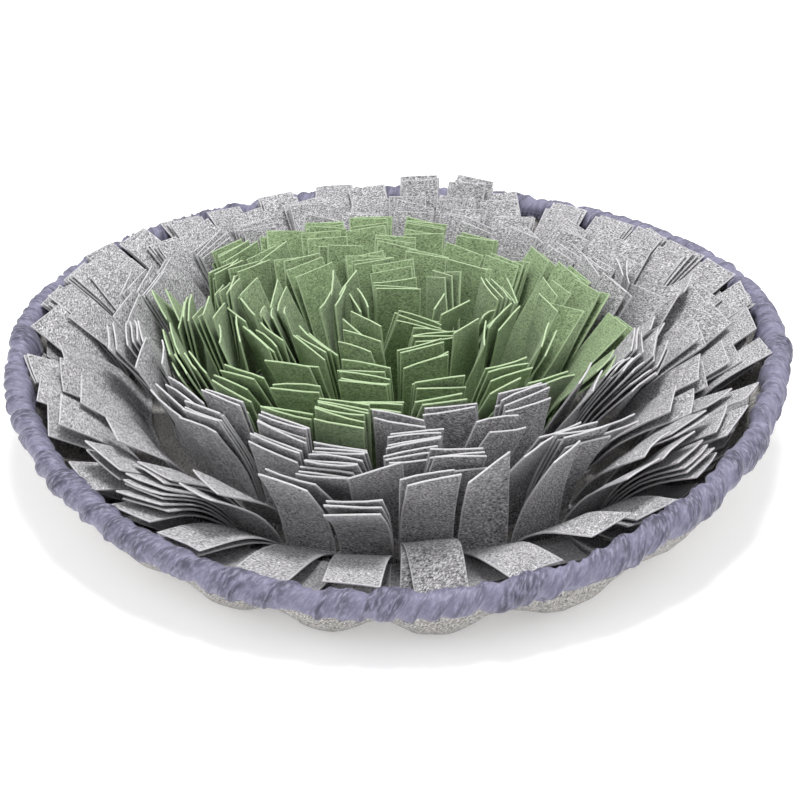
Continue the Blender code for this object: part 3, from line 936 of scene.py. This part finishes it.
def fine_wall(angle, share, lift):
    """A point of the wall's underside, or of its upper face, with small creases towards the sewn edge."""
    place = ruffled_wall(angle, share)
    slope = ruffled_wall(angle, min(share + NEAR, 1)) - ruffled_wall(angle, share - NEAR)
    normal = Vector((-slope.y, slope.x)).normalized()
    turn = outwards_at(angle) * FLAT_RADIUS * 2
    creases = CREASE_DEPTH * noise.noise(turn / CREASE_LENGTH + Vector((0, 0, share)))
    buckles = BUCKLE_DEPTH * noise.noise(turn / BUCKLE_LENGTH + Vector((0, 0, 2 * share)))
    buckles *= smooth(*BUCKLES_RISE, share) * (1 - smooth(*BUCKLES_FALL, share))
    place += normal * (creases * smooth(*CREASES_RISE, share) + buckles + lift)
    return around(angle, Vector((place.x, max(place.y, lift))))


def fine_base(material):
    """The base felt with its thickness, from the middle of its underside round its edge and back."""
    cloth = Cloth()
    flat = [FLAT_RADIUS * (i + 1) / FLAT_STEPS for i in range(FLAT_STEPS)]
    rim = FLAT_RADIUS + WALL_LENGTH
    shares = [i / WALL_STEPS for i in range(1, WALL_STEPS + 1)]

    def row(radius, share, lift, cut=0.0):
        points = []
        for i in range(BASE_STEPS_AROUND):
            angle = 2 * math.pi * i / BASE_STEPS_AROUND
            x, y = radius * math.cos(angle), radius * math.sin(angle)
            where = fine_wall(angle, share, lift) if share else Vector((x, y, lift))
            points.append(cloth.point(where, (x, y, UPPER_LAYER if lift else 0), cut))
        return points

    rows = [row(radius, 0, 0) for radius in flat]
    rows += [row(mix(FLAT_RADIUS, rim, share), share, 0) for share in shares]
    # the rim's edge row takes the felt's paler edge colour, which is partly painted highlight
    rows.append(row(rim, 1, BASE_THICKNESS / 2, 1.0))
    rows += [row(mix(FLAT_RADIUS, rim, share), share, BASE_THICKNESS) for share in reversed(shares)]
    rows += [row(radius, 0, BASE_THICKNESS) for radius in reversed(flat)]
    for outer, inner in zip(rows, rows[1:]):
        cloth.join(outer, inner)
    for end, height, layer in ((rows[0], 0, 0), (rows[-1], BASE_THICKNESS, UPPER_LAYER)):
        centre = cloth.point(Vector((0, 0, height)), (0, 0, layer))
        for i, corner in enumerate(end):
            after = end[(i + 1) % len(end)]
            cloth.faces.append((centre, corner, after) if height else (centre, after, corner))
    return cloth.object("base_felt", material)


def band_profile(turn, lip):
    """A place on the casing's section, turn from -1 at the inner lip over the crown to 1 at the outer lip."""
    side = math.copysign(1, turn)
    away = abs(turn)
    angle = away * CROWN_ANGLE
    if away < CROWN_END:
        along = CROWN_HEIGHT * math.cos(angle)
    else:
        low = CROWN_HEIGHT * math.cos(CROWN_END * CROWN_ANGLE)
        along = mix(low, lip, (away - CROWN_END) / (1 - CROWN_END))
    half = CROWN_HALF * math.sin(min(angle, math.pi / 2))
    half = mix(half, LIP_HALF, smooth(LIP_START, 1, away))
    return Vector((along, side * half))


def billow(place):
    """Noise with round ridges and narrow valleys, from about -0.4 to 1."""
    return BILLOW_STEEP * abs(noise.noise(place)) - BILLOW_DROP


def gathers(angle, turn):
    """Height of the casing's gathers: slanting folds like a rope's, and smaller puckers on them."""
    ring = outwards_at(angle)
    bent = angle + turn * SLANT * (1 + noise.noise(SLANT_WAVES * ring))
    circle = outwards_at(bent) * BAND_RADIUS
    folds = FOLD_DEPTH * billow(circle / FOLD_LENGTH + Vector((0, 0, FOLD_DRIFT * turn)))
    apart = Vector((0, 0, PUCKER_APART + PUCKER_DRIFT * turn))
    puckers = PUCKER_DEPTH * billow(circle / PUCKER_LENGTH + apart)
    swell = SWELL_DEPTH * noise.noise(ring * BAND_RADIUS / SWELL_LENGTH + Vector((0, 0, SWELL_APART + turn)))
    return mix(CROWN_SHARE, 1, abs(turn)) * folds + (1 - turn ** LIP_CALM) * puckers + swell


def fine_band(material):
    """The casing strip as a thin cloth, over the felt's edge."""
    cloth = Cloth()
    rows = []
    for i in range(BAND_STEPS_AROUND):
        angle = 2 * math.pi * i / BAND_STEPS_AROUND
        middle, along, across = rim_section(angle)
        lip = LIP_SCALLOP * ruffle_wave(angle) - LIP_DEPTH
        row = []
        for inside in (0, 1):
            steps = range(BAND_STEPS_ACROSS + 1)
            for step in reversed(steps) if inside else steps:
                turn = 2 * step / BAND_STEPS_ACROSS - 1
                place = band_profile(turn, lip)
                before = band_profile(max(turn - NEAR, -1), lip)
                after = band_profile(min(turn + NEAR, 1), lip)
                slope = (after - before).normalized()
                normal = Vector((-slope.y, slope.x))
                height = gathers(angle, turn)
                place = place + normal * (height - inside * BAND_CLOTH)
                where = around(angle, middle + along * place.x - across * place.y)
                on_cloth = (angle * BAND_RADIUS, turn * BAND_REACH, inside)
                # the point's colour share from the gathers' height: 0 in the valleys, where painted shade is
                # put, 1 on the tops
                row.append(cloth.point(where, on_cloth, smooth(*SHADED_TO_LIT_HEIGHTS, height)))
        rows.append(row)
    for row, after in zip(rows, rows[1:] + rows[:1]):
        cloth.join(row, after)
    return cloth.object("rim_casing", material, BAND_SHARP)


# ---------------------------------------------------------------- materials

def linked(tree, kind, inputs, **settings):
    """A shader node with its settings, its constant inputs and its links."""
    node = tree.nodes.new(kind)
    for name, value in settings.items():
        setattr(node, name, value)
    for name, value in inputs.items():
        if isinstance(value, bpy.types.NodeSocket):
            tree.links.new(value, node.inputs[name])
        else:
            node.inputs[name].default_value = value
    return node


def noise_at(tree, place, scale, detail, roughness):
    node = linked(tree, "ShaderNodeTexNoise",
                  {"Vector": place, "Scale": scale, "Detail": detail, "Roughness": roughness})
    return node.outputs["Fac"]


def stretched(tree, place, size, turn):
    """Places measured in units of the given size, along axes turned in the cloth."""
    node = linked(tree, "ShaderNodeMapping", {"Vector": place, "Scale": size, "Rotation": (0, 0, turn)},
                  vector_type="TEXTURE")
    return node.outputs["Vector"]


def ramp(tree, value, low, high, start=0.0, end=1.0):
    """From start where the value is low to end where it is high."""
    node = linked(tree, "ShaderNodeMapRange",
                  {"Value": value, "From Min": low, "From Max": high, "To Min": start, "To Max": end})
    return node.outputs["Result"]


def blend_colours(tree, share, first, second):
    node = linked(tree, "ShaderNodeMix", {"Factor": share}, data_type="RGBA")
    for name, colour in (("A", first), ("B", second)):
        socket = [s for s in node.inputs if s.name == name and s.type == "RGBA"][0]
        if isinstance(colour, bpy.types.NodeSocket):
            tree.links.new(colour, socket)
        else:
            socket.default_value = (*colour, 1)
    return [s for s in node.outputs if s.type == "RGBA"][0]


def new_material(name, roughness, sheen=(0, 0.5)):
    made = bpy.data.materials.new(name)
    made.use_nodes = True
    tree = made.node_tree
    shader = tree.nodes["Principled BSDF"]
    shader.inputs["Roughness"].default_value = roughness
    shader.inputs["Sheen Weight"].default_value = sheen[0]
    shader.inputs["Sheen Roughness"].default_value = sheen[1]
    return made, tree, shader


def calculate(tree, operation, first, second=0.0, third=0.0):
    node = linked(tree, "ShaderNodeMath", {0: first, 1: second, 2: third}, operation=operation)
    return node.outputs[0]


def from_cloth(tree, name, output):
    return linked(tree, "ShaderNodeAttribute", {}, attribute_name=name).outputs[output]


def raise_by(tree, shader, height, strength, distance):
    bump = linked(tree, "ShaderNodeBump", {"Height": height, "Strength": strength, "Distance": distance})
    tree.links.new(bump.outputs["Normal"], shader.inputs["Normal"])


def felt(name, colours):
    """Needled felt: dark and pale fibres that lie mostly across the strip, and a paler cut edge, partly the
    cut fibres' own paler look and partly painted highlight where the edges catch light.
    """
    made, tree, shader = new_material(name, FELT_ROUGHNESS, FELT_SHEEN)
    place = from_cloth(tree, "cloth", "Vector")
    edge = from_cloth(tree, "cut", "Fac")
    across, slanted = (
        noise_at(tree, stretched(tree, place, FIBRE, lay.turn), lay.scale, *FIBRE_GRAIN) for lay in FIBRE_LAYS
    )
    colour = blend_colours(tree, ramp(tree, across, *DARK_FIBRES), colours.dark, colours.middle)
    colour = blend_colours(tree, ramp(tree, slanted, *LIGHT_FIBRES), colour, colours.light)
    shade = ramp(tree, noise_at(tree, place, 1 / PATCH, *PATCH_GRAIN), *PATCHES, *PATCH_SHADES)
    toned = linked(tree, "ShaderNodeVectorMath", {0: colour, "Scale": shade}, operation="SCALE")
    # the paler cut edge: partly the fibres' own look, partly painted highlight
    share = calculate(tree, "MULTIPLY", edge, PALE_EDGE_AND_HIGHLIGHT_SHARE)
    colour = blend_colours(tree, share, toned.outputs["Vector"], colours.cut)
    tree.links.new(colour, shader.inputs["Base Color"])
    raise_by(tree, shader, calculate(tree, "ADD", across, slanted), FIBRE_STRENGTH, FIBRE_RELIEF)
    return made


def stitches(tree, place):
    """1 on the row of stitches beside each lip of the casing, 0 elsewhere."""
    parts = linked(tree, "ShaderNodeSeparateXYZ", {"Vector": place}).outputs
    away = calculate(tree, "ABSOLUTE", parts["Y"])
    line = calculate(tree, "COMPARE", away, BAND_REACH * STITCH_LINE, STITCH_THICKNESS)
    steps = calculate(tree, "FRACT", calculate(tree, "DIVIDE", parts["X"], STITCH_PITCH))
    return calculate(tree, "MULTIPLY", line, calculate(tree, "LESS_THAN", steps, STITCH_SHARE))


def band_cloth():
    """Thin woven polyester: a fine plain weave, painted shade in the valleys of the gathers, painted
    highlights along creases drawn from noise, and dark stitches along each lip.
    """
    made, tree, shader = new_material("slate_casing", BAND_ROUGHNESS, BAND_SHEEN)
    place = from_cloth(tree, "cloth", "Vector")
    creases = noise_at(tree, stretched(tree, place, BAND_CREASE, BAND_CREASE_TURN), 1, *BAND_GRAIN)
    # painted shade in the valleys of the gathers, the cloth's own colour on their tops
    colour = blend_colours(tree, from_cloth(tree, "cut", "Fac"), BAND_PAINTED_SHADE, BAND_TOP)
    # painted highlights along creases, from noise
    colour = blend_colours(tree, ramp(tree, creases, *CREASE_HIGHLIGHT_RANGE), colour, BAND_HIGHLIGHT_COLOUR)
    colour = blend_colours(tree, stitches(tree, place), colour, STITCH_COLOUR)
    tree.links.new(colour, shader.inputs["Base Color"])
    warp, weft = (
        linked(tree, "ShaderNodeTexWave", {"Vector": place, "Scale": WEAVE_SCALE}, bands_direction=way)
        for way in ("X", "Y")
    )
    weave = calculate(tree, "ADD", warp.outputs["Fac"], weft.outputs["Fac"])
    raise_by(tree, shader, weave, WEAVE_STRENGTH, WEAVE_RELIEF)
    return made


# ---------------------------------------------------------------- camera, light and floor

def set_camera():
    camera = bpy.data.objects.new("camera", bpy.data.cameras.new("camera"))
    bpy.context.scene.collection.objects.link(camera)
    aim = AIM + Vector((*FELT_CENTRE, 0))
    view = Vector((0, math.cos(ELEVATION), -math.sin(ELEVATION)))
    camera.location = aim - view * DISTANCE
    camera.rotation_euler = view.to_track_quat("-Z", "Y").to_euler()
    camera.data.sensor_width = SENSOR
    camera.data.lens = SENSOR * FOCUS_PIXELS / PICTURE
    camera.data.clip_start = NEAREST
    bpy.context.scene.camera = camera


def soft_light(lamp):
    data = bpy.data.lights.new(lamp.name, "AREA")
    data.energy = lamp.power
    data.size = lamp.size
    thing = bpy.data.objects.new(lamp.name, data)
    place = Vector(lamp.place)
    thing.location = place
    thing.rotation_euler = (LAMP_AIM - place).to_track_quat("-Z", "Y").to_euler()
    bpy.context.scene.collection.objects.link(thing)


def set_floor():
    mesh = bpy.data.meshes.new("floor")
    places = [(x * FLOOR_REACH, y * FLOOR_REACH, 0) for x, y in SQUARE]
    mesh.from_pydata(places, [], [(0, 1, 2, 3)])
    floor = bpy.data.objects.new("floor", mesh)
    bpy.context.scene.collection.objects.link(floor)
    made, _, shader = new_material("floor", FLOOR_ROUGHNESS)
    shader.inputs["Base Color"].default_value = FLOOR_COLOUR
    shader.inputs["Emission Color"].default_value = (1, 1, 1, 1)
    shader.inputs["Emission Strength"].default_value = FLOOR_GLOW
    mesh.materials.append(made)


def set_studio():
    world = bpy.data.worlds.new("studio")
    world.use_nodes = True
    sky = world.node_tree.nodes["Background"]
    sky.inputs["Color"].default_value = (1, 1, 1, 1)
    sky.inputs["Strength"].default_value = SKY
    bpy.context.scene.world = world
    for lamp in LAMPS:
        soft_light(lamp)
    bpy.context.scene.view_settings.view_transform = "Standard"
    set_floor()


# ---------------------------------------------------------------- the object

def rough_object(name, bm):
    mesh = bpy.data.meshes.new(name)
    bm.to_mesh(mesh)
    bm.free()
    thing = bpy.data.objects.new(name, mesh)
    bpy.context.scene.collection.objects.link(thing)
    return thing


def grow_flaps():
    """The rings' backing strips by name, and all flaps: the part's own, further plies and fallen ones."""
    rough_base = rough_object("rough_base", base_felt())
    thicken(rough_base, BASE_THICKNESS)
    rough_band = rough_object("rough_band", rim_band())
    ground = Ground(rough_base)
    fixed = [ground.tree, BVHTree.FromObject(rough_band, bpy.context.evaluated_depsgraph_get())]
    for rough in (rough_base, rough_band):
        bpy.data.objects.remove(rough)

    strips = {ring.name: strip_ring(ring, ground) for ring in RINGS}
    trees = {name: BVHTree.FromBMesh(bm) for name, (bm, _) in strips.items()}
    standing = []
    flaps = []
    for ring in RINGS:
        others = [tree for name, tree in trees.items() if name != ring.name]
        flaps += place_flaps(ring, strips[ring.name][1], ground, fixed + others, standing)

    slim = [[thin(section) for section in [flap.root] + flap.bends] for flap in flaps]
    standing = [hull_with_reach(sections) for sections in slim]
    flaps += more_plies(flaps, ground, fixed, standing)
    flaps += lying_flaps(ground, fixed + list(trees.values()), standing)
    return {name: bm for name, (bm, _) in strips.items()}, flaps


def main():
    strips, flaps = grow_flaps()
    felts = {name: felt(name + "_felt", colours) for name, colours in FELTS.items()}
    base = fine_base(felts["pale"])
    band = fine_band(band_cloth())
    for piece, node, slot in ((base, "base", "base_felt"), (band, "rim_band", "band_cloth")):
        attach(piece, "root")
        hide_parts(node)
    for ring in RINGS:
        own = [flap for flap in flaps if flap.ring.name == ring.name]
        piece = fine_ring(ring.name + "_flaps", own, strips[ring.name], felts[ring.felt])
        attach(piece, "root")
        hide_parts(ring.name)


main()
set_camera()
set_studio()
